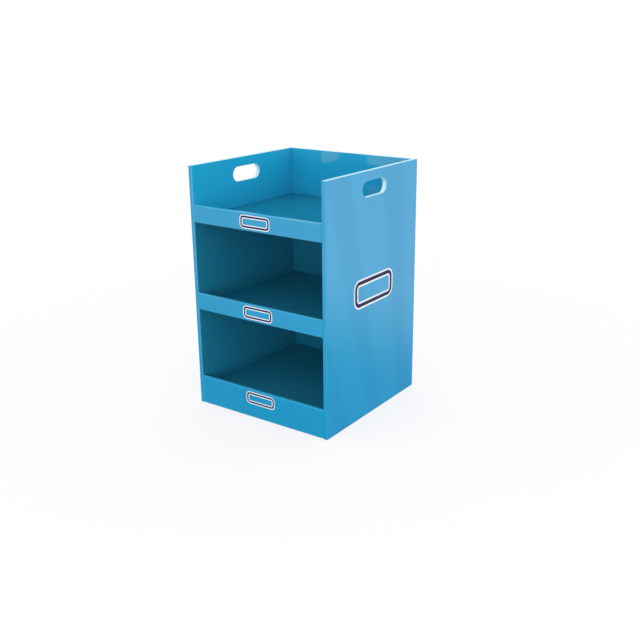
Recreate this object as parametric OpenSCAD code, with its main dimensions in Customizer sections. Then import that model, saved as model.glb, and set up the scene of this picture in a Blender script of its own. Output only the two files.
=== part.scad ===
// Three-tier floor stand folded from printed corrugated board.
// Origin on the floor at the middle of the footprint, front towards -Y, millimetres.

/* [Stand] */
// Width across the front, over both side walls
stand_w = 380; // [320:1:600]
// Depth from the front edges to the back wall's outer face
stand_d = 380; // [320:1:600]
// Height of the side and back walls
stand_h = 580; // [540:1:800]

/* [Board] */
// Thickness of one ply of corrugated board
ply_t = 4.8; // [3:0.1:6.5]
// Glue line between two plies that lie face to face
glue_t = 0.4; // [0.1:0.1:0.8]
// Clearance round tabs and at the edges of what fits between the walls
fit_gap = 0.3; // [0.1:0.05:0.6]

/* [Shelves] */
// Height of the bottom shelf's surface above the floor
base_h = 40; // [30:1:70]
// Step from one shelf surface to the next
shelf_pitch = 210; // [140:1:220]
// Height of a front lip above its shelf
lip_h = 31; // [15:1:90]
// Length of a locking tab along its edge
tab_l = 70; // [30:1:100]
// Distance between the two tabs of one edge, middle to middle
tab_pitch = 200; // [120:1:240]

/* [Hand holes] */
// Length of a hand hole over its round ends
grip_l = 98; // [70:1:140]
// Height of a hand hole
grip_h = 36; // [24:1:50]
// Board left between a hand hole and the top edge
grip_drop = 22; // [10:1:30]

/* [Base ribs] */
// Distance between the two ribs that run from front to back
rib_pitch = 160; // [80:1:260]

/* [Hidden] */

$fn = 48;
print_blue = "#3d9ecd";
lining_blue = "#2f8fbd";
bare_board = "#e9edee";

// Walls, lips and upper shelves are two plies and the glue line between them
wall_t = 2 * ply_t + glue_t;
half_t = ply_t / 2;
inner_w = stand_w - 2 * wall_t;
tray_w = inner_w - 2 * fit_gap;

// Faces of the stand along Y
front_y = -stand_d / 2;
back_y = stand_d / 2;
back_in = back_y - wall_t;
tray_back = back_in - fit_gap;

// Middle lines of the plies
side_mid = stand_w / 2 - half_t;
lining_mid = inner_w / 2 + half_t;
front_mid = front_y + half_t;
lip_mid = front_y + wall_t - half_t;
back_mid = back_y - half_t;
lining_end = back_y - ply_t - fit_gap;

// Tabs end flush with the far face of the lining that they pass through
tab_x = inner_w / 2 + ply_t;
tab_y = back_in + ply_t;

// Surfaces of the upper shelves
middle_z = base_h + shelf_pitch;
top_z = middle_z + shelf_pitch;

// Hand holes run through both plies of both side walls, at mid-depth
grip_z = stand_h - grip_drop - grip_h / 2;
grip_end = (grip_l - grip_h) / 2;

// Space for the ribs inside the base, and the glued flap that closes its back
rib_top = base_h - ply_t - fit_gap;
rib_mid = (ply_t + rib_top) / 2;
rib_slot = ply_t + 2 * fit_gap;
riser_mid = tray_back - half_t;
flap_mid = riser_mid - ply_t - glue_t;
rib_front = front_y + ply_t + fit_gap;
rib_back = flap_mid - half_t - fit_gap;
cross_y = (rib_front + rib_back) / 2;

// One flat panel of board between two points of its middle line
module panel_section(from, to) {
  run = to - from;
  translate(from)
    rotate(atan2(run.y, run.x))
      translate([0, -half_t])
        square([norm(run), ply_t]);
}

// A folded sheet seen from its edge: flat panels along a middle line, each fold rounded outside
module sheet_section(line) {
  last = len(line) - 1;
  for (i = [0 : last - 1])
    panel_section(line[i], line[i + 1]);
  for (i = [1 : last - 1])
    translate(line[i])
      circle(d = ply_t);
}

// Runs a side-view section across the stand's width
module across(w) {
  rotate([90, 0, 90])
    linear_extrude(w, center = true)
      children();
}

// Plan of the tabs at both ends of a shelf, as strips from one wall to the other
module side_tab_plan(reach, l) {
  for (end = [-1, 1])
    translate([0, end * tab_pitch / 2])
      square([2 * reach, l], center = true);
}

// Plan of the tabs at a shelf's back edge, as strips from mid-depth to the back wall
module back_tab_plan(reach, l) {
  for (end = [-1, 1])
    translate([end * tab_pitch / 2 - l / 2, 0])
      square([l, reach]);
}

// Slots for the tabs that rest at height z, seated on the slot's lower edge
module tab_slots(z, drop = 0) {
  translate([0, 0, z - drop])
    linear_extrude(ply_t + fit_gap + drop)
      children();
}

// Trims a folded tray to the clear space between the walls, with its tabs in its lowest ply
module trim_to_walls(z, h) {
  translate([-tray_w / 2, front_y, z])
    cube([tray_w, tray_back - front_y, h]);
  translate([0, 0, z])
    linear_extrude(ply_t)
      children();
}

// Shelf tray folded from one sheet: under ply, lip front, lip top, lip back and shelf surface
module shelf_tray(z) {
  under_z = z - wall_t;
  lip_z = z + lip_h - half_t;
  color(print_blue)
    intersection() {
      across(2 * tab_x)
        sheet_section([
          [tab_y, under_z + half_t],
          [front_mid, under_z + half_t],
          [front_mid, lip_z],
          [lip_mid, lip_z],
          [lip_mid, z - half_t],
          [tab_y, z - half_t]
        ]);
      trim_to_walls(under_z, wall_t + lip_h) {
        side_tab_plan(tab_x, tab_l);
        back_tab_plan(tab_y, tab_l);
      }
    }
}

// Side-view outline of a hand hole
module grip_outline() {
  for (end = [-1, 1])
    translate([end * grip_end, grip_z])
      circle(d = grip_h);
  translate([-grip_end, grip_z - grip_h / 2])
    square([2 * grip_end, grip_h]);
}

// One sheet round three sides: each side wall turns in at its front edge and lines itself
module body_wrap() {
  color(print_blue)
    difference() {
      linear_extrude(stand_h)
        sheet_section([
          [-lining_mid, lining_end],
          [-lining_mid, front_mid],
          [-side_mid, front_mid],
          [-side_mid, back_mid],
          [side_mid, back_mid],
          [side_mid, front_mid],
          [lining_mid, front_mid],
          [lining_mid, lining_end]
        ]);
      across(stand_w + 2 * wall_t)
        grip_outline();
      for (z = [middle_z, top_z])
        tab_slots(z - wall_t)
          side_tab_plan(tab_x + glue_t / 2, tab_l + 2 * fit_gap);
      tab_slots(0, fit_gap)
        side_tab_plan(tab_x + glue_t / 2, tab_l + 2 * fit_gap);
    }
}

// Flat inner ply of the back wall, between the two side linings
module back_liner() {
  color(lining_blue)
    difference() {
      translate([-tray_w / 2, back_in, 0])
        cube([tray_w, ply_t, stand_h]);
      for (z = [middle_z, top_z])
        tab_slots(z - wall_t)
          back_tab_plan(tab_y + glue_t / 2, tab_l + 2 * fit_gap);
    }
}

module top_shelf() {
  shelf_tray(top_z);
}

module middle_shelf() {
  shelf_tray(middle_z);
}

// Hollow base tray folded from one sheet: flap, floor panel, front, lip, shelf surface and back
module bottom_shelf() {
  lip_z = base_h + lip_h - half_t;
  color(print_blue)
    intersection() {
      across(2 * tab_x)
        sheet_section([
          [flap_mid, rib_top],
          [flap_mid, half_t],
          [front_mid, half_t],
          [front_mid, lip_z],
          [lip_mid, lip_z],
          [lip_mid, base_h - half_t],
          [riser_mid, base_h - half_t],
          [riser_mid, 0]
        ]);
      trim_to_walls(0, base_h + lip_h)
        side_tab_plan(tab_x, tab_l);
    }
}

// Rib from wall to wall, slotted from above where the other two cross it
module cross_rib() {
  color(bare_board)
    difference() {
      translate([-tray_w / 2, cross_y - half_t, ply_t])
        cube([tray_w, ply_t, rib_top - ply_t]);
      for (end = [-1, 1])
        translate([end * rib_pitch / 2 - rib_slot / 2, cross_y - ply_t, rib_mid])
          cube([rib_slot, 2 * ply_t, rib_top]);
    }
}

// Rib from the base's front to its back flap, slotted from below over the cross rib
module long_rib(x) {
  color(bare_board)
    difference() {
      translate([x - half_t, rib_front, ply_t])
        cube([ply_t, rib_back - rib_front, rib_top - ply_t]);
      translate([x - ply_t, cross_y - rib_slot / 2, 0])
        cube([2 * ply_t, rib_slot, rib_mid]);
    }
}

module left_rib() {
  long_rib(-rib_pitch / 2);
}

module right_rib() {
  long_rib(rib_pitch / 2);
}

body_wrap();
back_liner();
top_shelf();
middle_shelf();
bottom_shelf();
cross_rib();
left_rib();
right_rib();
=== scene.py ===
import math
import bmesh
import bpy
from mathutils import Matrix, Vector


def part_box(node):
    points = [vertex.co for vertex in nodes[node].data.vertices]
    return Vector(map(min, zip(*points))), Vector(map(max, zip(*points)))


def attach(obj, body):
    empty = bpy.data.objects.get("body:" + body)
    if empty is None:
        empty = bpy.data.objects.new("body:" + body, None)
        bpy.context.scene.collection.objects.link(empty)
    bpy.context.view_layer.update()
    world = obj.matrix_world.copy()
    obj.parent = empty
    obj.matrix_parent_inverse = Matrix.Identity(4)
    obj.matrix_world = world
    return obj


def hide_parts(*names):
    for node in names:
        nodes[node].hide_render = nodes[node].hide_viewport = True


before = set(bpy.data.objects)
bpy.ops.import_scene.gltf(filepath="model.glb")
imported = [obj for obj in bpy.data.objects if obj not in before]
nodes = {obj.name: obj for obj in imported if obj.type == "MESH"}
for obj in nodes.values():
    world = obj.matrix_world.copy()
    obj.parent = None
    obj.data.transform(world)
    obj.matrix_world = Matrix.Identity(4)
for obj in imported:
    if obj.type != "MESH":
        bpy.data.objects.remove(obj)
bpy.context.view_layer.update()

# Sizes read from the frame, in metres
wrapLow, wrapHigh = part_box("body_wrap")
linerLow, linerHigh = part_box("back_liner")
ply = linerHigh.y - linerLow.y  # one ply of board
wall = wrapHigh.y - linerLow.y  # two plies and the glue line between them
glue = wall - 2 * ply
half = ply / 2
innerX = wrapHigh.x - wall
trayX = linerHigh.x  # shelves and liner end here
fit = innerX - trayX  # and stay this clear of the linings
trayBack = linerLow.y - fit
tabX = innerX + ply  # tabs end flush with the far face of the lining
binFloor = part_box("top_shelf")[0].z + wall + ply / 4  # just over the top shelf's surface
shelfBottoms = [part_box(name)[0].z for name in ("bottom_shelf", "middle_shelf", "top_shelf")]

# Middles of the plies, seen from above
sideMid = wrapHigh.x - half
liningMid = innerX + half
frontMid = wrapLow.y + half
backMid = wrapHigh.y - half
lipMid = wrapLow.y + wall - half
liningEnd = wrapHigh.y - ply - fit

board = {
    "facing": 0.00035,  # paper on both faces of a ply
    "middle": 0.0003,  # paper between the two flutes
    "fineFlute": 0.00125,  # flute behind the printed face
    "finePitch": 0.0032,
    "fineSteps": 6,  # points along one wave
    "coarsePitch": 0.0064,
    "coarseSteps": 10,
    "flutePaper": 0.00028,
    "rimDepth": 0.00045,  # how far the flutes lie open at a cut rim
    "ribbonDepth": 0.000495,  # the flutes' papers reach just into the rim's floor
    "endShort": 0.0002,  # and stop this short of a sheet's ends
    "foldSteps": 10,
    "creaseReach": 0.006,  # width of the band beside a fold that is scuffed and paler, the paler part wear and painted highlight
    "smoothBelow": 40,  # degrees between faces that shade as one
    "weld": 0.000001,  # points closer than this become one
}
board["coarseFlute"] = ply - 2 * board["facing"] - board["middle"] - board["fineFlute"]

tabs = {"length": 0.070, "pitch": 0.200}
slotReach = tabX + glue / 2
slotHalf = tabs["length"] / 2 + fit
overcut = 0.002  # how far a cutter stands out of what it cuts

handHole = {"length": 0.098, "height": 0.036, "drop": 0.022, "steps": 24}
handHole["z"] = wrapHigh.z - handHole["drop"] - handHole["height"] / 2


def srgb(r, g, b):  # a colour as seen on screen, 0 to 255, in linear light
    parts = [c / 255 for c in (r, g, b)]
    linear = [c / 12.92 if c <= 0.04045 else ((c + 0.055) / 1.055) ** 2.4 for c in parts]
    return (*linear, 1.0)


inks = {
    "blue": srgb(14, 162, 211),
    "blueDeep": srgb(8, 156, 205),
    "bluePaleReflection": srgb(88, 178, 225),
    "blueFootUnreflected": srgb(2, 156, 211),
    "blueReflectionAndGrain": srgb(30, 95, 150),
    "frontShadeBlue": srgb(18, 154, 202),
    "frontPaleReflection": srgb(85, 170, 212),
    "blueLining": srgb(37, 167, 207),
    "blueInsideShade": srgb(37, 132, 161),
    "blueBackShade": srgb(33, 131, 162),
    "blueShelfShade": srgb(42, 139, 166),
    "blueBinShade": srgb(28, 133, 165),
    "foldWearAndHighlight": srgb(128, 224, 255),
    "lipEndPaperAndLight": srgb(48, 208, 255),
    "navy": srgb(38, 38, 82),
    "white": srgb(244, 247, 250),
    "paper": srgb(211, 248, 255),
    "paperFibreAndCellShade": srgb(183, 221, 235),
    "liner": srgb(222, 224, 222),
    "linerFleck": srgb(196, 196, 190),
}


# Shader maths as plain expressions
class Wire:
    def __init__(self, tree, socket=None):
        self.tree = tree
        self.socket = socket

    def node(self, kind, settings=None, values=None, out=0):
        made = self.tree.nodes.new(kind)
        for key, value in (settings or {}).items():
            setattr(made, key, value)
        for key, value in (values or {}).items():
            if isinstance(value, Wire):
                self.tree.links.new(value.socket, made.inputs[key])
            else:
                made.inputs[key].default_value = value
        return Wire(self.tree, made.outputs[out] if made.outputs else None)

    def math(self, operation, *others):
        terms = dict(enumerate((self, *others)))
        return self.node("ShaderNodeMath", {"operation": operation}, terms)

    def __add__(self, other):
        return self.math("ADD", other)

    __radd__ = __add__

    def __sub__(self, other):
        return self.math("SUBTRACT", other)

    def __rsub__(self, other):
        return self.node("ShaderNodeMath", {"operation": "SUBTRACT"}, {0: other, 1: self})

    def __mul__(self, other):
        return self.math("MULTIPLY", other)

    __rmul__ = __mul__

    def __truediv__(self, other):
        return self.math("DIVIDE", other)

    def __lt__(self, other):
        return self.math("LESS_THAN", other)

    def __gt__(self, other):
        return self.math("GREATER_THAN", other)

    def __abs__(self):
        return self.math("ABSOLUTE")

    def least(self, other):
        return self.math("MINIMUM", other)

    def most(self, other):
        return self.math("MAXIMUM", other)

    def soft(self, low, high):  # 0 under low, 1 over high, smooth between
        span = {"From Min": low, "From Max": high, "Value": self}
        return self.node("ShaderNodeMapRange", {"interpolation_type": "SMOOTHSTEP"}, span)

    def blend(self, one, two):  # colours, self says how much of the second
        pair = {"Factor": self, 6: one, 7: two}
        return self.node("ShaderNodeMix", {"data_type": "RGBA"}, pair, out=2)

    def noise(self, scale, detail=2.0, rough=0.5):
        values = {"Vector": self, "Scale": scale, "Detail": detail, "Roughness": rough}
        return self.node("ShaderNodeTexNoise", None, values)

    def stretched(self, x, y, z):
        return self.node("ShaderNodeMapping", None, {"Vector": self, "Scale": (x, y, z)})

    def bump(self, strength):
        values = {"Strength": strength, "Distance": 1.0, "Height": self}
        return self.node("ShaderNodeBump", None, values)

    def axes(self):
        return [self.node("ShaderNodeSeparateXYZ", None, {"Vector": self}, out=k) for k in range(3)]


def newFinish(name):
    finish = bpy.data.materials.new(name)
    finish.use_nodes = True
    finish.node_tree.nodes.clear()
    start = Wire(finish.node_tree)
    place = start.node("ShaderNodeTexCoord", out=3)  # Object coordinates
    return finish, start, place


def closeFinish(start, fixed, varying):
    surface = start.node("ShaderNodeBsdfPrincipled", None, {**fixed, **varying})
    start.node("ShaderNodeOutputMaterial", None, {"Surface": surface})


# Printed film over the board. Noises give scale, detail and roughness, ranges their soft limits
film = {
    "ior": 1.5,
    "foldedGloss": {"specular": 0.11, "roughness": 0.06, "relief": 1.0},
    "flatGloss": {"specular": 0.7, "roughness": 0.02, "relief": 0.1},  # a sheet that was never creased
    "cloudNoise": (9.0, 3.0),
    "cloudRange": (0.3, 0.7),
    "inkSpread": 0.5,  # how far the two blues mix
    "mottleNoise": (900.0, 2.0, 0.6),
    "mottle": 0.06,
    "grainRange": (0.4, 0.65),
    "grain": 0.08,  # fine speckle of the print
    "fluteRange": (-0.2, 1.0),
    "fluteLines": 0.09,  # ink lies heavier along the flute tips
    "liningShare": 0.9,  # inner faces take inks of their own, darker copies of the print as painted shade; a little of the mottle shows through
    "footTo": 0.24,  # painted reflection: outer faces have a deeper blue below this height, where less is reflected
    "paleRange": (0.08, 0.34),  # and fade to a paler blue between these two, a painted reflection
    "paleTilt": 0.376,  # the fade sits lower towards the back
    "frontRange": (0.08, 0.43),  # front strips and lips fade to a paler blue between these two, a painted reflection
    "frontPaleReflection": 0.55,
    "smearNoise": (22.0, 3.0),
    "smear": 0.7,  # how much the roughness varies
    "foldScuff": 0.15,  # roughness gained on a fold
    "rippleHeight": 0.000006,  # flutes showing faintly through the face
    "waveNoise": (26.0, 1.5, 0.4),
    "waveStretch": 0.06,
    "waveHeight": 0.0001,  # slow waviness across the flutes
    "peelNoise": (1400.0, 1.0),
    "peelHeight": 0.000002,
    "thinNoise": (120.0, 3.0, 0.6),  # ink thins unevenly where the sheet bends; the paler folds are partly this wear and partly a painted highlight
    "thinLeast": 0.75,
    "thinMore": 0.5,
    "foldFocus": 3.0,
    "trayFade": 0.22,  # ink lost on the folds of the trays, with a painted highlight
    "stripFade": 0.32,  # beside the front strips
    "cornerFade": 0.12,  # and on the four outer corners
    "endPaperAndLight": 0.8,  # cut ends of the lips show the paper through the ink, lightened further as painted light against the shade of the groove beside the strips
    "endSkin": 0.00005,
    "printBlur": 0.0002,
}

reflectionBeams = {  # painted reflection: faint darker beams that fan up both side walls
    "footY": 0.255,  # where they meet, behind the stand and far below the floor
    "footZ": -0.94,
    "pitch": 0.143,  # from one beam to the next, as sideways run over height above that point
    "first": -0.12,
    "range": (-0.1, 0.7),
    "share": 0.085,
}


def frontFace(place):
    return place.axes()[1] < frontMid


def sideFace(place):
    return (abs(place.axes()[0]) > sideMid) * (1 - frontFace(place))


def outerFace(place):
    x, y, _ = place.axes()
    return (abs(x) > sideMid).most(y > backMid) * (1 - frontFace(place))


def groundBlue(place, mottle, inside):  # print without its fine detail, its inks carrying painted shade and painted reflection
    _, y, z = place.axes()
    front = frontFace(place)
    outer = outerFace(place)
    inner = (1 - front) * (1 - outer)
    spread = place.noise(*film["cloudNoise"]).soft(*film["cloudRange"]) * film["inkSpread"]
    colour = (spread + mottle * film["mottle"]).blend(inks["blue"], inks["blueDeep"])
    # painted shade: inner faces from the bin's floor downwards, in the bays and on the floors, take
    # darker inks
    lining = (z < binFloor).blend(inks["blueLining"], inks[inside])
    colour = (inner * film["liningShare"]).blend(colour, lining)
    # painted reflection: outer faces deeper blue near the foot and paler higher up
    foot = (1 - z.soft(0.0, film["footTo"])) * outer
    colour = foot.blend(colour, inks["blueFootUnreflected"])
    # painted shade: front strips and lips take a darker copy of the outer blue
    colour = front.blend(colour, inks["frontShadeBlue"])
    paleOuter = (z + y * film["paleTilt"]).soft(*film["paleRange"]) * outer
    # painted reflection: front strips and lips paler higher up
    paleFront = z.soft(*film["frontRange"]) * front * film["frontPaleReflection"]
    pale = front.blend(inks["bluePaleReflection"], inks["frontPaleReflection"])
    return (paleOuter + paleFront).blend(colour, pale)


def paintedReflectionFan(place):
    _, y, z = place.axes()
    turn = (y - reflectionBeams["footY"]) / (z - reflectionBeams["footZ"])
    swing = ((turn - reflectionBeams["first"]) * (2 * math.pi / reflectionBeams["pitch"])).math("COSINE")
    return swing.soft(*reflectionBeams["range"]) * sideFace(place) * reflectionBeams["share"]


def printedFrame(place, mark):  # an empty frame with round corners: its white border and navy line
    x, y, z = place.axes()
    across, depth = (x, y * -1.0) if mark["face"] == "front" else (y, x)
    past = abs(across) - (mark["width"] / 2 - mark["corner"])
    over = abs(z - mark["z"]) - (mark["height"] / 2 - mark["corner"])
    pastOnly = past.most(0.0)
    overOnly = over.most(0.0)
    inner = past.most(over).least(0.0)
    ring = abs((pastOnly * pastOnly + overOnly * overOnly).math("SQRT") + inner - mark["corner"])
    onFace = depth > mark["depth"] - half / 2
    blur = film["printBlur"]
    lineEdge = mark["line"] / 2
    borderEdge = lineEdge + mark["border"]
    border = (1 - ring.soft(borderEdge - blur, borderEdge + blur)) * onFace
    line = (1 - ring.soft(lineEdge - blur, lineEdge + blur)) * onFace
    return border, line


def filmFinish(name, look):
    finish, start, place = newFinish(name)
    u, v, _ = start.node("ShaderNodeUVMap", {"uv_map": "sheet"}).axes()
    across, along = (u, v) if look["flutesAlong"] == "v" else (v, u)
    flute = (across * (2 * math.pi / board["finePitch"])).math("SINE")
    mottle = place.noise(*film["mottleNoise"])
    colour = groundBlue(place, mottle, look["inside"])
    lines = flute.soft(*film["fluteRange"]) * film["fluteLines"]
    grain = mottle.soft(*film["grainRange"]) * film["grain"]
    # painted reflection beams, together with the print's flute lines and grain, all towards one darker
    # blue
    colour = (paintedReflectionFan(place) + lines + grain).blend(colour, inks["blueReflectionAndGrain"])
    if look["mark"]:
        border, line = printedFrame(place, look["mark"])
        colour = border.blend(colour, inks["white"])
        colour = line.blend(colour, inks["navy"])

    creased = start.node("ShaderNodeUVMap", {"uv_map": "fold"}).axes()[0]
    bent = creased.math("POWER", film["foldFocus"])
    thin = place.noise(*film["thinNoise"]) * film["thinMore"] + film["thinLeast"]
    x = place.axes()[0]
    if look["isTray"]:
        ends = (abs(x) > trayX - film["endSkin"]) * frontFace(place)
        # painted light: the lips' cut ends paler, lifting the shaded groove beside the front strips,
        # partly paper through the ink
        colour = (ends * film["endPaperAndLight"]).blend(colour, inks["lipEndPaperAndLight"])
        fade = film["trayFade"] * (1 - ends)
    else:
        fade = film["cornerFade"] + (abs(x) < sideMid) * (film["stripFade"] - film["cornerFade"])
    # paler folds: worn ink and a painted highlight along each fold
    colour = (bent * thin * fade).blend(colour, inks["foldWearAndHighlight"])

    gloss = look["gloss"]
    smear = (place.noise(*film["smearNoise"]) - 0.5) * film["smear"] + 1.0
    roughness = gloss["roughness"] * smear + bent * film["foldScuff"]
    strip = {"X": across, "Y": along * film["waveStretch"], "Z": 0.0}
    wave = start.node("ShaderNodeCombineXYZ", None, strip).noise(*film["waveNoise"]) * film["waveHeight"]
    peel = place.noise(*film["peelNoise"]) * film["peelHeight"]
    height = (flute * film["rippleHeight"] + wave + peel) * gloss["relief"]
    closeFinish(start, {"IOR": film["ior"], "Specular IOR Level": gloss["specular"]},
                {"Base Color": colour, "Roughness": roughness, "Normal": height.bump(1.0)})
    return finish


cutEdge = {
    "ior": 1.45,
    "roughness": 0.85,
    "fibreNoise": (1600.0, 3.0, 0.6),
    "fibreRange": (0.45, 0.8),
    "fibreShade": 0.3,
    "fibreHeight": 0.00003,
    "cellRange": (0.4, 1.1),  # from paper to open cell, in papers from its middle
    "cellShade": 0.45,
    "cellDepth": 0.00025,
    "relief": 0.8,
}


def cutFinish(name):  # white board cut through: papers pale, cells between them a little darker as painted shade
    finish, start, place = newFinish(name)
    x, y, z = place.axes()
    depth = (wrapHigh.x - abs(x)).least(abs(x) - innerX)  # below the nearest printed face
    paper = board["facing"]
    fineMid = paper + board["fineFlute"] / 2
    middleMid = paper + board["fineFlute"] + board["middle"] / 2
    coarseMid = paper + board["fineFlute"] + board["middle"] + board["coarseFlute"] / 2

    def fluteLine(mid, height, pitch):
        swing = (height - paper) / 2
        return abs(depth - mid - (y * (2 * math.pi / pitch)).math("SINE") * swing)

    lines = fluteLine(fineMid, board["fineFlute"], board["finePitch"])
    lines = lines.least(fluteLine(coarseMid, board["coarseFlute"], board["coarsePitch"]))
    for mid in (middleMid, paper / 2, ply - paper / 2):
        lines = lines.least(abs(depth - mid))
    inHole = (depth > 0.0) * (abs(z - handHole["z"]) < handHole["height"] / 2 + half)
    cell = lines.soft(*[paper * share for share in cutEdge["cellRange"]]) * inHole
    fibre = place.noise(*cutEdge["fibreNoise"])
    # painted shade in the open flute cells, with the fibre's real flecks
    shade = cell * cutEdge["cellShade"] + fibre.soft(*cutEdge["fibreRange"]) * cutEdge["fibreShade"]
    colour = shade.blend(inks["paper"], inks["paperFibreAndCellShade"])
    height = fibre * cutEdge["fibreHeight"] - cell * cutEdge["cellDepth"]
    closeFinish(start, {"IOR": cutEdge["ior"], "Roughness": cutEdge["roughness"]},
                {"Base Color": colour, "Normal": height.bump(cutEdge["relief"])})
    return finish


bareBoard = {
    "ior": 1.45,
    "fleckStretch": (1.0, 1.0, 0.35),
    "fleckNoise": (700.0, 4.0, 0.7),
    "fleckRange": (0.55, 0.75),
    "fleckShade": 0.6,
    "fleckHeight": 0.00004,
    "cloudNoise": (14.0, 2.0),
    "cloudShade": 0.25,
    "roughness": 0.78,
    "fleckRoughness": 0.15,
    "relief": 0.6,
}


def bareFinish(name):  # unprinted white liner, seen inside the base and between plies
    finish, start, place = newFinish(name)
    fleck = place.stretched(*bareBoard["fleckStretch"]).noise(*bareBoard["fleckNoise"])
    flecks = fleck.soft(*bareBoard["fleckRange"]) * bareBoard["fleckShade"]
    clouds = place.noise(*bareBoard["cloudNoise"]) * bareBoard["cloudShade"]
    colour = (flecks + clouds).blend(inks["liner"], inks["linerFleck"])
    roughness = bareBoard["roughness"] + fleck * bareBoard["fleckRoughness"]
    normal = (fleck * bareBoard["fleckHeight"]).bump(bareBoard["relief"])
    closeFinish(start, {"IOR": bareBoard["ior"]},
                {"Base Color": colour, "Roughness": roughness, "Normal": normal})
    return finish


cutPaper = cutFinish("cutPaper")
bareLiner = bareFinish("bareLiner")
finishOrder = {"printed": 0, "bare": 1, "cut": 2}
print("finishes ready")


# Folded sheets: a middle line with rounded folds, printed on its left side
def foldSamples(line):
    points = [Vector(p) for p in line]
    runs = [(b - a).normalized() for a, b in zip(points, points[1:])]
    sides = [Vector((-r.y, r.x)) for r in runs]
    last = len(runs) - 1
    reach = board["creaseReach"]
    samples = []
    along = 0.0

    def corner(i):  # the mitre on the inner side of the fold before panel i
        mitre = (sides[i - 1] + sides[i]) / (1 + sides[i - 1].dot(sides[i]))
        turnsRight = runs[i - 1].cross(runs[i]) < 0
        return mitre, turnsRight

    for i, run in enumerate(runs):
        length = (points[i + 1] - points[i]).length
        stops = [0.0, reach, length - reach, length]
        if length < 3 * reach:
            stops = [0.0, length / 2, length]
        for stop in stops:
            fold = None
            if stop == 0.0 and i > 0:
                fold = i
            elif stop == length and i < last:
                fold = i + 1
            left = right = sides[i]
            bend = 0.0
            if fold is not None:
                mitre, turnsRight = corner(fold)
                left, right = (left, mitre) if turnsRight else (mitre, right)
                bend = 0.5
            samples.append((points[i] + run * stop, left, right, along + stop, bend))
        along += length
        if i == last:
            break
        mitre, turnsRight = corner(i + 1)
        for step in range(1, board["foldSteps"]):
            part = step / board["foldSteps"]
            angle = part * math.pi / 2
            swung = sides[i] * math.cos(angle) + sides[i + 1] * math.sin(angle)
            left, right = (swung, mitre) if turnsRight else (mitre, swung)
            bend = 1 - abs(part - 0.5)  # strongest in the middle of the fold
            samples.append((points[i + 1], left, right, along + part * half * math.pi / 2, bend))
        along += half * math.pi / 2
    return samples


def foldSheet(name, line, low, high, place, openRims):
    samples = foldSamples(line)
    bm = bmesh.new()
    sheetUv = bm.loops.layers.uv.new("sheet")
    foldUv = bm.loops.layers.uv.new("fold")  # how near a fold, carried through the cuts

    def row(offset, level):
        made = []
        for point, left, right, along, bend in samples:
            spot = point + offset * (left if offset > 0 else right)
            vert = bm.verts.new(place(spot.x, spot.y, level))
            made.append((vert, (along, level), (bend, 0.0)))
        return made

    def skin(one, two, finish):
        for corners in zip(one, one[1:], two[1:], two):
            face = bm.faces.new([corner[0] for corner in corners])
            face.material_index = finishOrder[finish]
            for loop, corner in zip(face.loops, corners):
                loop[sheetUv].uv = corner[1]
                loop[foldUv].uv = corner[2]

    inset = half - board["facing"]
    caps = []
    for level, inward in ((low, 1), (high, -1)):
        chain = [row(half, level)]
        if openRims:
            deep = level + inward * board["rimDepth"]
            chain += [row(inset, level), row(inset, deep), row(-inset, deep), row(-inset, level)]
        chain.append(row(-half, level))
        for one, two in zip(chain, chain[1:]):
            skin(one, two, "cut")
        caps.append(chain)
    skin(caps[0][0], caps[1][0], "printed")
    skin(caps[0][-1], caps[1][-1], "bare")
    for end in (0, -1):
        loop = [r[end][0] for r in caps[0]] + [r[end][0] for r in reversed(caps[1])]
        bm.faces.new(loop).material_index = finishOrder["cut"]
    bmesh.ops.remove_doubles(bm, verts=bm.verts, dist=board["weld"])
    bmesh.ops.recalc_face_normals(bm, faces=bm.faces)
    return linked(name, bm)


def linked(name, bm):  # the worked mesh becomes an object of the scene
    mesh = bpy.data.meshes.new(name)
    bm.to_mesh(mesh)
    bm.free()
    piece = bpy.data.objects.new(name, mesh)
    bpy.context.scene.collection.objects.link(piece)
    return piece


def dropped(piece):
    mesh = piece.data
    bpy.data.objects.remove(piece)
    bpy.data.meshes.remove(mesh)


def settled(piece):  # live modifiers become plain mesh
    seen = piece.evaluated_get(bpy.context.evaluated_depsgraph_get())
    mesh = bpy.data.meshes.new_from_object(seen)
    piece.modifiers.clear()
    piece.data = mesh


def boxCutter(low, high, finish=cutPaper):
    bm = bmesh.new()
    bmesh.ops.create_cube(bm, size=1.0)
    for vert in bm.verts:
        vert.co = [a + (c + 0.5) * (b - a) for a, b, c in zip(low, high, vert.co)]
    cutter = linked("cutter", bm)
    cutter.data.materials.append(finish)
    return cutter


def slotCutter(width):  # round-ended bar along X
    radius = handHole["height"] / 2
    run = handHole["length"] / 2 - radius
    steps = handHole["steps"]
    bm = bmesh.new()
    outline = []
    for step in range(2 * steps + 2):
        side = 1 if step <= steps else -1
        angle = math.pi * (step - (step > steps)) / steps - math.pi / 2
        spot = (side * run + radius * math.cos(angle), handHole["z"] + radius * math.sin(angle))
        outline.append(bm.verts.new((-width / 2, *spot)))
    face = bm.faces.new(outline)
    pulled = bmesh.ops.extrude_face_region(bm, geom=[face])
    for vert in pulled["geom"]:
        if isinstance(vert, bmesh.types.BMVert):
            vert.co.x = width / 2
    bmesh.ops.recalc_face_normals(bm, faces=bm.faces)
    cutter = linked("cutter", bm)
    cutter.data.materials.append(cutPaper)
    return cutter


def cutAway(piece, cutters):
    for cutter in cutters:
        cut = piece.modifiers.new("cut", "BOOLEAN")
        cut.operation = "DIFFERENCE"
        cut.solver = "EXACT"
        cut.material_mode = "TRANSFER"
        cut.object = cutter
    settled(piece)
    for cutter in cutters:
        dropped(cutter)


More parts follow.
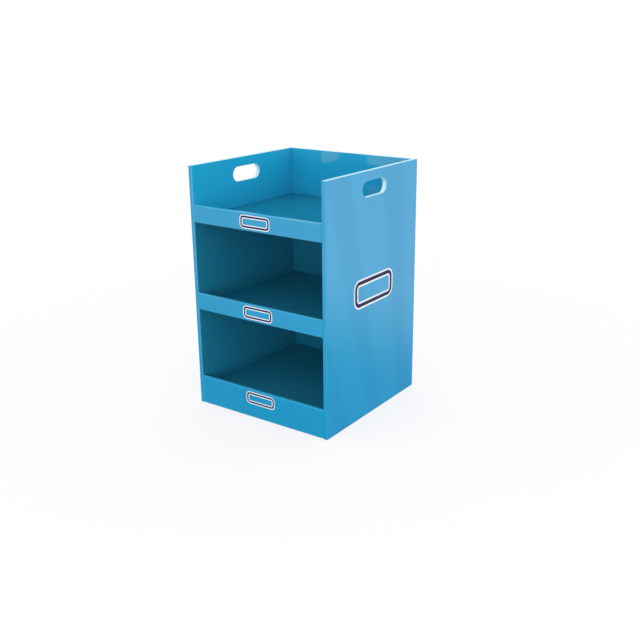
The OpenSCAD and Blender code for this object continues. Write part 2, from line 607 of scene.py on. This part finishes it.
def shaded(piece):  # flat panels stay flat, folds turn smoothly
    for face in piece.data.polygons:
        face.use_smooth = True
    piece.data.set_sharp_from_angle(angle=math.radians(board["smoothBelow"]))
    even = piece.modifiers.new("even", "WEIGHTED_NORMAL")
    even.mode = "FACE_AREA"
    even.weight = 100
    even.keep_sharp = True
    settled(piece)


def dressed(piece, printed):
    for finish in (printed, bareLiner, cutPaper):
        piece.data.materials.append(finish)


bakeRoom = {  # a UV map for baking the wrap's textures
    "name": "OFBake",
    "columns": 3,
    "rows": 2,
    "panels": 5,  # the wrap's print fills a cell with each fifth, and the last cell holds the rest
    "edge": 0.004,  # free space beside a panel, in metres
    "bareShare": 0.25,  # of the last cell, for the faces between the plies
}


def cellSpot(cell, u, v):  # u and v run from 0 to 1 over the cell
    row, column = divmod(cell, bakeRoom["columns"])
    return ((column + u) / bakeRoom["columns"], (row + v) / bakeRoom["rows"])


def cutSpot(place):  # cut edges and flutes lie slantwise in the last cell
    reach = wrapHigh.x + wrapHigh.y
    u = (place.x + place.y / 2) / (2 * reach) + 0.5
    v = (place.y - place.x / 2) / (4 * reach) + place.z / (4 * wrapHigh.z) + 0.5
    return cellSpot(bakeRoom["panels"], u, v)


def bakeMap(piece):  # what shows fills the map, so that the print stays sharp
    mesh = piece.data
    mesh.uv_layers.new(name=bakeRoom["name"])
    sheet = mesh.uv_layers["sheet"].uv
    spots = mesh.uv_layers[bakeRoom["name"]].uv
    edge = bakeRoom["edge"]
    length = max(spot.vector.x for spot in sheet)
    panel = length / bakeRoom["panels"]
    for face in mesh.polygons:
        places = [sheet[k].vector for k in face.loop_indices]
        cell = int(sum(place.x for place in places) / len(places) / panel)
        for k, (along, level) in zip(face.loop_indices, places):
            if face.material_index == finishOrder["printed"]:
                u = (along - cell * panel + edge) / (panel + 2 * edge)
                spot = cellSpot(cell, u, (level + edge) / (wrapHigh.z + 2 * edge))
            elif face.material_index == finishOrder["bare"]:
                v = level / wrapHigh.z * bakeRoom["bareShare"]
                spot = cellSpot(bakeRoom["panels"], along / length, v)
            else:
                spot = cutSpot(mesh.vertices[mesh.loops[k].vertex_index].co)
            spots[k].vector = spot


def handOver(piece, node):
    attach(piece, "root")
    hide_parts(node)
    print(piece.name, len(piece.data.polygons), "faces")


# Wavy papers between the facings, where a cut rim shows them
def fluteTree():
    tree = bpy.data.node_groups.new("fluteRibbon", "GeometryNodeTree")
    face = tree.interface
    face.new_socket("Geometry", in_out="INPUT", socket_type="NodeSocketGeometry")
    for name in ("Pitch", "Swing", "Paper", "Depth", "Step"):
        face.new_socket(name, in_out="INPUT", socket_type="NodeSocketFloat")
    face.new_socket("Geometry", in_out="OUTPUT", socket_type="NodeSocketGeometry")
    given = tree.nodes.new("NodeGroupInput")
    start = Wire(tree)
    size = {s.name: Wire(tree, s) for s in given.outputs if s.name}
    curve = start.node("GeometryNodeMeshToCurve", None, {"Mesh": size["Geometry"]})
    curve = start.node("GeometryNodeResampleCurve", {"mode": "LENGTH"},
                       {"Curve": curve, "Length": size["Step"]})
    curve = start.node("GeometryNodeSetCurveNormal", {"mode": "Z_UP"}, {"Curve": curve})
    tangent = start.node("GeometryNodeInputTangent")
    sideways = start.node("ShaderNodeVectorMath", {"operation": "CROSS_PRODUCT"},
                          {0: tangent, 1: (0, 0, 1)})
    run = start.node("GeometryNodeSplineParameter", out=1)
    swing = (run * (2 * math.pi) / size["Pitch"]).math("SINE") * size["Swing"]
    offset = start.node("ShaderNodeVectorMath", {"operation": "SCALE"}, {0: sideways, "Scale": swing})
    curve = start.node("GeometryNodeSetPosition", None, {"Geometry": curve, "Offset": offset})
    profile = start.node("GeometryNodeCurvePrimitiveQuadrilateral", {"mode": "RECTANGLE"},
                         {"Width": size["Paper"], "Height": size["Depth"]})
    ribbon = start.node("GeometryNodeCurveToMesh", None,
                        {"Curve": curve, "Profile Curve": profile, "Fill Caps": True})
    whole = start.node("GeometryNodeRealizeInstances", None, {"Geometry": ribbon})
    done = start.node("GeometryNodeSetMaterial", None, {"Geometry": whole, "Material": cutPaper})
    start.node("NodeGroupOutput", None, {"Geometry": done})
    return tree


ribbonTree = fluteTree()


def fluteRibbon(line, offset, level, height, pitch, step):
    spots = []
    for point, left, right, _, _ in foldSamples(line):
        spot = point + offset * (left if offset > 0 else right)
        if spots and (spot - spots[-1]).length <= board["weld"]:
            spots.pop()
        spots.append(spot)
    spots[0] += (spots[1] - spots[0]).normalized() * board["endShort"]
    spots[-1] += (spots[-2] - spots[-1]).normalized() * board["endShort"]
    bm = bmesh.new()
    path = [bm.verts.new((spot.x, spot.y, level)) for spot in spots]
    for pair in zip(path, path[1:]):
        bm.edges.new(pair)
    ribbon = linked("ribbon", bm)
    made = ribbon.modifiers.new("ribbon", "NODES")
    made.node_group = ribbonTree
    paper = board["flutePaper"]
    sizes = {"Pitch": pitch, "Swing": max(height - paper, 0.0) / 2, "Paper": paper,
             "Depth": board["ribbonDepth"], "Step": step}
    for socket in ribbonTree.interface.items_tree:
        if socket.in_out == "INPUT" and socket.name in sizes:
            made[socket.identifier] = sizes[socket.name]
    settled(ribbon)
    return ribbon


def rimFlutes(piece, line, low, high):  # both cut rims of a sheet get their flutes
    fineMid = half - board["facing"] - board["fineFlute"] / 2
    middleMid = half - board["facing"] - board["fineFlute"] - board["middle"] / 2
    coarseMid = board["facing"] + board["coarseFlute"] / 2 - half
    layers = ((fineMid, board["fineFlute"], board["finePitch"], board["fineSteps"]),
              (middleMid, 0.0, board["finePitch"], 1),
              (coarseMid, board["coarseFlute"], board["coarsePitch"], board["coarseSteps"]))
    bm = bmesh.new()
    bm.from_mesh(piece.data)
    bakeUv = bm.loops.layers.uv.get(bakeRoom["name"])
    for level, inward in ((low, 1), (high, -1)):
        middle = level + inward * board["ribbonDepth"] / 2
        for offset, height, pitch, steps in layers:
            ribbon = fluteRibbon(line, offset, middle, height, pitch, pitch / steps)
            before = len(bm.faces)
            bm.from_mesh(ribbon.data)
            bm.faces.ensure_lookup_table()
            for face in bm.faces[before:]:
                face.material_index = finishOrder["cut"]
                for loop in face.loops if bakeUv else ():
                    loop[bakeUv].uv = cutSpot(loop.vert.co)
            dropped(ribbon)
    bm.to_mesh(piece.data)
    bm.free()


def alongPlan(a, b, level):  # a plan section run upwards
    return (a, b, level)


def alongWidth(a, b, level):  # a side-view section run across the stand
    return (level, a, b)


# Body wrap: both side walls with their linings, and the back
wrapLook = {
    "flutesAlong": "v",
    "inside": "blueInsideShade",
    "gloss": film["foldedGloss"],
    "isTray": False,
    "mark": {"face": "side", "depth": wrapHigh.x, "z": 0.306, "width": 0.148, "height": 0.052,
             "corner": 0.014, "line": 0.0085, "border": 0.0042},
}


def buildWrap():
    line = [(-liningMid, liningEnd), (-liningMid, frontMid), (-sideMid, frontMid), (-sideMid, backMid),
            (sideMid, backMid), (sideMid, frontMid), (liningMid, frontMid), (liningMid, liningEnd)]
    piece = foldSheet("bodyWrap", line, wrapLow.z, wrapHigh.z, alongPlan, True)
    dressed(piece, filmFinish("wrapFilm", wrapLook))
    cutters = [slotCutter(2 * wrapHigh.x + 2 * wall)]
    for bottom in shelfBottoms:
        seat = bottom if bottom > wrapLow.z else bottom - overcut
        for end in (-1, 1):
            y = end * tabs["pitch"] / 2
            cutters.append(boxCutter((-slotReach, y - slotHalf, seat),
                                     (slotReach, y + slotHalf, bottom + ply + fit)))
    cutAway(piece, cutters)
    shaded(piece)
    bakeMap(piece)
    rimFlutes(piece, line, wrapLow.z, wrapHigh.z)
    handOver(piece, "body_wrap")


# Back liner: the flat inner ply of the back wall
linerLook = {
    "flutesAlong": "v",
    "inside": "blueBackShade",
    "gloss": film["flatGloss"],
    "isTray": False,
    "mark": None,
}


def buildLiner():
    middle = linerLow.y + half
    line = [(trayX, middle), (-trayX, middle)]
    piece = foldSheet("backLiner", line, linerLow.z, linerHigh.z, alongPlan, True)
    dressed(piece, filmFinish("linerFilm", linerLook))
    cutters = []
    for bottom in shelfBottoms[1:]:
        for end in (-1, 1):
            x = end * tabs["pitch"] / 2
            cutters.append(boxCutter((x - slotHalf, linerLow.y - overcut, bottom),
                                     (x + slotHalf, linerHigh.y + overcut, bottom + ply + fit)))
    cutAway(piece, cutters)
    shaded(piece)
    rimFlutes(piece, line, linerLow.z, linerHigh.z)
    handOver(piece, "back_liner")


# Shelf trays, each folded from one sheet with its front lip
trayLook = {
    "flutesAlong": "u",
    "gloss": film["foldedGloss"],
    "isTray": True,
    "mark": {"face": "front", "depth": -wrapLow.y, "width": 0.076, "height": 0.0225,
             "corner": 0.006, "line": 0.0042, "border": 0.0021},
    "baseDrop": 0.0105,  # from the top of the base's lip down to its frame
}


def trayFilm(name, inside, frameZ):
    mark = {**trayLook["mark"], "z": frameZ}
    return filmFinish(name + "Film", {**trayLook, "inside": inside, "mark": mark})


def besideTabs(first, last):  # the three gaps that the two tabs of an edge leave
    edges = [first]
    for end in (-1, 1):
        middle = end * tabs["pitch"] / 2
        edges += [middle - tabs["length"] / 2, middle + tabs["length"] / 2]
    edges.append(last)
    return list(zip(edges[0::2], edges[1::2]))


def trimTabs(piece, bottom, top, hasBackTabs):  # leaves the tabs of the lowest ply standing out
    inked = piece.data.materials[finishOrder["printed"]]  # the lip's ends are inked like its face
    gapZ = bottom + ply + glue / 2
    lapZ = gapZ + overcut / 4
    low = bottom - overcut
    high = top + overcut
    side = tabX + overcut
    front = wrapLow.y - overcut
    back = linerHigh.y + overcut
    cutters = []
    for x0, x1 in ((-side, -trayX), (trayX, side)):
        cutters.append(boxCutter((x0, front, gapZ), (x1, back, high), inked))
        for y0, y1 in besideTabs(front, back):
            cutters.append(boxCutter((x0, y0, low), (x1, y1, lapZ), inked))
    if hasBackTabs:
        cutters.append(boxCutter((-side, trayBack, gapZ), (side, back, high)))
        for x0, x1 in besideTabs(-side, side):
            cutters.append(boxCutter((x0, trayBack, low), (x1, back, lapZ)))
    cutAway(piece, cutters)


def buildTray(name, node, inside):
    low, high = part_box(node)
    surface = low.z + wall
    lipZ = high.z - half
    line = [(linerHigh.y, low.z + half), (frontMid, low.z + half), (frontMid, lipZ), (lipMid, lipZ),
            (lipMid, surface - half), (linerHigh.y, surface - half)]
    piece = foldSheet(name, line, -tabX, tabX, alongWidth, False)
    dressed(piece, trayFilm(name, inside, (low.z + high.z) / 2))
    trimTabs(piece, low.z, high.z, True)
    shaded(piece)
    handOver(piece, node)


def buildBase():
    low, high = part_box("bottom_shelf")
    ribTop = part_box("cross_rib")[1].z
    surface = ribTop + fit + ply
    lipZ = high.z - half
    riserMid = trayBack - half
    flapMid = riserMid - ply - glue
    line = [(flapMid, ribTop), (flapMid, low.z + half), (frontMid, low.z + half), (frontMid, lipZ),
            (lipMid, lipZ), (lipMid, surface - half), (riserMid, surface - half), (riserMid, low.z)]
    piece = foldSheet("bottomShelf", line, -tabX, tabX, alongWidth, False)
    frameZ = high.z - trayLook["baseDrop"] - trayLook["mark"]["height"] / 2
    dressed(piece, trayFilm("bottomShelf", "blueShelfShade", frameZ))
    trimTabs(piece, low.z, high.z, False)
    shaded(piece)
    handOver(piece, "bottom_shelf")


buildWrap()
buildLiner()
buildTray("topShelf", "top_shelf", "blueBinShade")
buildTray("middleShelf", "middle_shelf", "blueShelfShade")
buildBase()

for name in ("cross_rib", "left_rib", "right_rib"):  # hidden ribs keep their solids
    nodes[name].data.materials.clear()
    nodes[name].data.materials.append(bareLiner)


# Stage
stage = {
    "floorRadius": 4.0,
    "floorSteps": 96,
    "floorColour": srgb(249, 249, 249),
    "floorBounce": srgb(150, 150, 150),  # what the floor throws back on the stand
    "floorGlow": 0.76,  # share of plain white in the floor's look, the rest carries the shadow
    "fadeRange": (0.9, 2.2),  # the floor melts into the white surround between these distances
    "skyFocus": 4.0,  # how closely the light keeps to the horizon
    "skyHorizon": 1.94,
    "skyZenith": 0.8,
    "skyBelow": 0.35,
    "keyPower": 13.0,
    "keySize": 1.2,
    "keyPlace": (1.55, -2.15, 0.55),
}
plainWhite = (1.0, 1.0, 1.0, 1.0)


def shownRay(start):  # rays that show the surround itself: seen, mirrored or through glass
    seen = [start.node("ShaderNodeLightPath", out=name)
            for name in ("Is Camera Ray", "Is Glossy Ray", "Is Transmission Ray")]
    return seen[0].most(seen[1]).most(seen[2])


def floorFinish():
    finish, start, place = newFinish("floorPaint")
    far = start.node("ShaderNodeVectorMath", {"operation": "LENGTH"}, {0: place}, out=1)
    ground = start.node("ShaderNodeBsdfDiffuse", None, {"Color": stage["floorColour"]})
    glow = start.node("ShaderNodeEmission", None, {"Color": plainWhite, "Strength": 1.0})
    bounce = start.node("ShaderNodeBsdfDiffuse", None, {"Color": stage["floorBounce"]})
    clear = start.node("ShaderNodeBsdfTransparent")
    pale = start.node("ShaderNodeMixShader", None, {0: stage["floorGlow"], 1: ground, 2: glow})
    floor = start.node("ShaderNodeMixShader", None, {0: shownRay(start), 1: bounce, 2: pale})
    fade = far.soft(*stage["fadeRange"])
    surface = start.node("ShaderNodeMixShader", None, {0: fade, 1: floor, 2: clear})
    start.node("ShaderNodeOutputMaterial", None, {"Surface": surface})
    return finish


def buildFloor():
    bm = bmesh.new()
    bmesh.ops.create_circle(bm, cap_ends=True, segments=stage["floorSteps"], radius=stage["floorRadius"])
    floor = linked("floor", bm)
    floor.data.materials.append(floorFinish())


def buildLight():
    world = bpy.data.worlds.new("studio")
    world.use_nodes = True
    world.node_tree.nodes.clear()
    start = Wire(world.node_tree)
    shown = shownRay(start)
    up = start.node("ShaderNodeTexCoord").axes()[2]
    level = (1 - up * up).math("POWER", stage["skyFocus"])
    sky = stage["skyZenith"] + level * (stage["skyHorizon"] - stage["skyZenith"])
    above = up > 0.0
    light = sky * above + stage["skyBelow"] * (1 - above)
    strength = light * (1 - shown) + shown
    surround = start.node("ShaderNodeBackground", None, {"Color": plainWhite, "Strength": strength})
    start.node("ShaderNodeOutputWorld", None, {"Surface": surround})
    bpy.context.scene.world = world

    lamp = bpy.data.lights.new("key", "AREA")
    lamp.energy = stage["keyPower"]
    lamp.size = stage["keySize"]
    key = bpy.data.objects.new("key", lamp)
    key.location = stage["keyPlace"]
    aim = Vector((0, 0, wrapHigh.z / 2)) - key.location
    key.rotation_euler = aim.to_track_quat("-Z", "Y").to_euler()
    bpy.context.scene.collection.objects.link(key)


# Camera, at the photograph's own viewpoint
photoView = {
    "place": (1.1899, -1.5927, 0.8748),
    "azimuth": 33.753,
    "elevation": 17.602,
    "focalPixels": 855.07,
    "centrePixel": (350.58, 299.85),
    "framePixels": 640,
    "sensor": 36.0,
}


def buildCamera():
    lens = bpy.data.cameras.new("photoCamera")
    size = photoView["framePixels"]
    lens.sensor_width = photoView["sensor"]
    lens.lens = photoView["focalPixels"] / size * photoView["sensor"]
    lens.shift_x = (size / 2 - photoView["centrePixel"][0]) / size
    lens.shift_y = (photoView["centrePixel"][1] - size / 2) / size
    camera = bpy.data.objects.new("photoCamera", lens)
    azimuth = math.radians(photoView["azimuth"])
    elevation = math.radians(photoView["elevation"])
    level = math.cos(elevation)
    back = Vector((math.sin(azimuth) * level, -math.cos(azimuth) * level, math.sin(elevation)))
    camera.location = photoView["place"]
    camera.rotation_euler = (-back).to_track_quat("-Z", "Y").to_euler()
    bpy.context.scene.collection.objects.link(camera)
    bpy.context.scene.camera = camera


buildFloor()
buildLight()
buildCamera()
bpy.context.scene.view_settings.view_transform = "Standard"
print("stage and camera ready")
